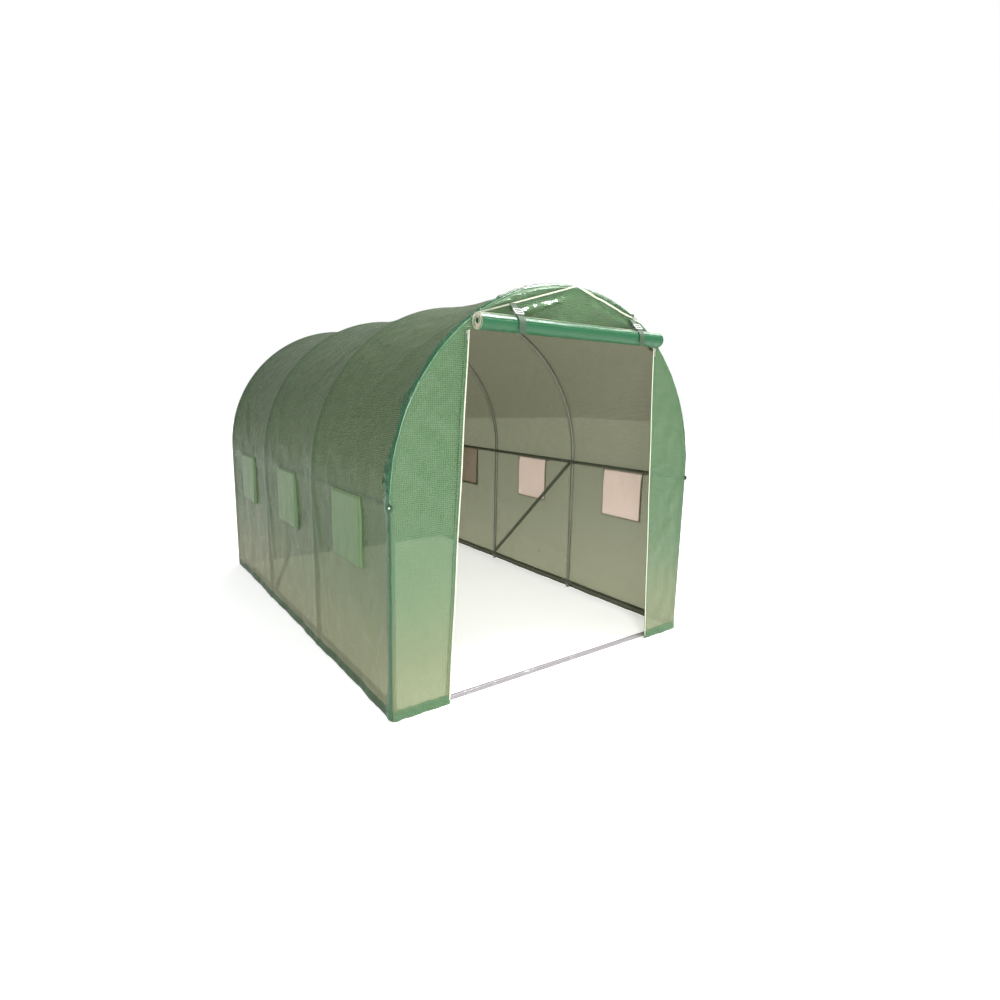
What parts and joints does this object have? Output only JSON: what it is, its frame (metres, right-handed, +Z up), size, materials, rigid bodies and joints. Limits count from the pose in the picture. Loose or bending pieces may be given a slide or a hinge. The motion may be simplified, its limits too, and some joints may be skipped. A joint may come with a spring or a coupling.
{
  "type": "walk-in tunnel greenhouse",
  "caption": "Walk-in tunnel greenhouse: arched bolted tube frame under a fitted grid-reinforced sheet cover, with a roll-up zipped front door and flapped mesh side windows.",
  "frame": {"origin": "on the ground, at the centre of the footprint of everything, rolled door included", "axes": "+Z up; +Y from the door to the rear, along the tunnel; +X to the right as seen from the door"},
  "size_m": [2.0324, 3.0856, 1.9998],
  "materials": {
    "hoop_tube": "galvanised, satin",
    "rail_tube": "dark powder coat, satin",
    "bolt": "zinc plated",
    "cover_film": "translucent green sheet with a woven white grid, satin",
    "gable_film": "translucent green sheet with a woven white grid, satin",
    "door_film": "green grid-reinforced sheet, glossy",
    "flap_film": "green grid-reinforced sheet, satin",
    "insect_mesh": "fine open mesh, matt",
    "webbing": "woven, matt",
    "buckle": "moulded, glossy",
    "zip_tape": "woven, matt",
    "zip_metal": "painted, glossy"
  },
  "bodies": {
    "frame_and_cover": {"leg_front_left": "hoop_tube", "leg_front_right": "hoop_tube", "leg_second_left": "hoop_tube", "leg_second_right": "hoop_tube", "leg_third_left": "hoop_tube", "leg_third_right": "hoop_tube", "leg_rear_left": "hoop_tube", "leg_rear_right": "hoop_tube", "shoulder_tube_front_left": "hoop_tube", "shoulder_tube_front_right": "hoop_tube", "shoulder_tube_second_left": "hoop_tube", "shoulder_tube_second_right": "hoop_tube", "shoulder_tube_third_left": "hoop_tube", "shoulder_tube_third_right": "hoop_tube", "shoulder_tube_rear_left": "hoop_tube", "shoulder_tube_rear_right": "hoop_tube", "crown_tube_front": "hoop_tube", "crown_tube_second": "hoop_tube", "crown_tube_third": "hoop_tube", "crown_tube_rear": "hoop_tube", "base_rail_front_left": "rail_tube", "base_rail_front_right": "rail_tube", "base_rail_middle_left": "rail_tube", "base_rail_middle_right": "rail_tube", "base_rail_rear_left": "rail_tube", "base_rail_rear_right": "rail_tube", "mid_rail_front_left": "rail_tube", "mid_rail_front_right": "rail_tube", "mid_rail_middle_left": "rail_tube", "mid_rail_middle_right": "rail_tube", "mid_rail_rear_left": "rail_tube", "mid_rail_rear_right": "rail_tube", "ridge_rail_front": "rail_tube", "ridge_rail_middle": "rail_tube", "ridge_rail_rear": "rail_tube", "threshold_tube": "hoop_tube", "rear_sill_tube": "hoop_tube", "brace_left": "rail_tube", "brace_right": "rail_tube", "frame_bolts": "bolt", "cover_sheet": "cover_film", "front_gable": "gable_film", "rear_gable": "gable_film", "window_screens": "insect_mesh"},
    "door_sheet": {"door_curtain": "door_film"},
    "door_roll": {"door_roll": "door_film"},
    "strap_left": {"strap_left": "webbing", "buckle_left": "buckle"},
    "strap_right": {"strap_right": "webbing", "buckle_right": "buckle"},
    "zip_tape_left": {"zip_tape_left": "zip_tape"},
    "zip_tape_right": {"zip_tape_right": "zip_tape"},
    "zip_slider_left": {"zip_slider_left": "zip_metal"},
    "zip_slider_right": {"zip_slider_right": "zip_metal"},
    "window_flap_front_left": {"window_flap_front_left": "flap_film"},
    "window_flap_front_right": {"window_flap_front_right": "flap_film"},
    "window_flap_middle_left": {"window_flap_middle_left": "flap_film"},
    "window_flap_middle_right": {"window_flap_middle_right": "flap_film"},
    "window_flap_rear_left": {"window_flap_rear_left": "flap_film"},
    "window_flap_rear_right": {"window_flap_rear_right": "flap_film"}
  },
  "joints": [
    {"name": "door_unroll", "type": "slide", "parent": "frame_and_cover", "child": "door_sheet", "axis": [0, 0, -1], "range_m": [0, 1.73], "deforming": ["door_curtain"]},
    {"name": "door_roll_spin", "type": "hinge", "parent": "door_sheet", "child": "door_roll", "pos_m": [0, -1.50025, 1.778], "axis": [1, 0, 0], "range_deg": [0, 2521]},
    {"name": "zip_tape_left_draws_in", "type": "hinge", "parent": "frame_and_cover", "child": "zip_tape_left", "pos_m": [-0.622, -1.45835, 1.745], "axis": [0, -1, 0], "range_deg": [0, 3]},
    {"name": "zip_slider_left_run", "type": "slide", "parent": "zip_tape_left", "child": "zip_slider_left", "axis": [-0.0515, 0, -0.9987], "range_m": [0, 1.665]},
    {"name": "zip_tape_right_draws_in", "type": "hinge", "parent": "frame_and_cover", "child": "zip_tape_right", "pos_m": [0.622, -1.45835, 1.745], "axis": [0, 1, 0], "range_deg": [0, 3]},
    {"name": "zip_slider_right_run", "type": "slide", "parent": "zip_tape_right", "child": "zip_slider_right", "axis": [0.0515, 0, -0.9987], "range_m": [0, 1.665]},
    {"name": "strap_left_swing", "type": "hinge", "parent": "frame_and_cover", "child": "strap_left", "pos_m": [-0.38, -1.4585, 1.905], "axis": [-1, 0, 0], "range_deg": [0, 90]},
    {"name": "strap_right_swing", "type": "hinge", "parent": "frame_and_cover", "child": "strap_right", "pos_m": [0.42, -1.4585, 1.905], "axis": [-1, 0, 0], "range_deg": [0, 90]},
    {"name": "window_flap_front_left_lift", "type": "hinge", "parent": "frame_and_cover", "child": "window_flap_front_left", "pos_m": [-1.0012, -0.94545, 0.985], "axis": [0, 1, 0], "range_deg": [0, 150]},
    {"name": "window_flap_front_right_unroll", "type": "slide", "parent": "frame_and_cover", "child": "window_flap_front_right", "axis": [0, 0, -1], "range_m": [0, 0.325]},
    {"name": "window_flap_middle_left_lift", "type": "hinge", "parent": "frame_and_cover", "child": "window_flap_middle_left", "pos_m": [-1.0012, 0.04275, 0.985], "axis": [0, 1, 0], "range_deg": [0, 150]},
    {"name": "window_flap_middle_right_unroll", "type": "slide", "parent": "frame_and_cover", "child": "window_flap_middle_right", "axis": [0, 0, -1], "range_m": [0, 0.325]},
    {"name": "window_flap_rear_left_lift", "type": "hinge", "parent": "frame_and_cover", "child": "window_flap_rear_left", "pos_m": [-1.0012, 1.03095, 0.985], "axis": [0, 1, 0], "range_deg": [0, 150]},
    {"name": "window_flap_rear_right_lift", "type": "hinge", "parent": "frame_and_cover", "child": "window_flap_rear_right", "pos_m": [1.0012, 1.03095, 0.985], "axis": [0, -1, 0], "range_deg": [0, 150]}
  ],
  "couplings": [
    {"joint": "door_roll_spin", "follows": "door_unroll", "rad_per_m": 25.423},
    {"joint": "zip_tape_left_draws_in", "follows": "door_unroll", "rad_per_m": 0.029786},
    {"joint": "zip_slider_left_run", "follows": "door_unroll", "ratio": 0.96},
    {"joint": "zip_tape_right_draws_in", "follows": "door_unroll", "rad_per_m": 0.029786},
    {"joint": "zip_slider_right_run", "follows": "door_unroll", "ratio": 0.96}
  ]
}
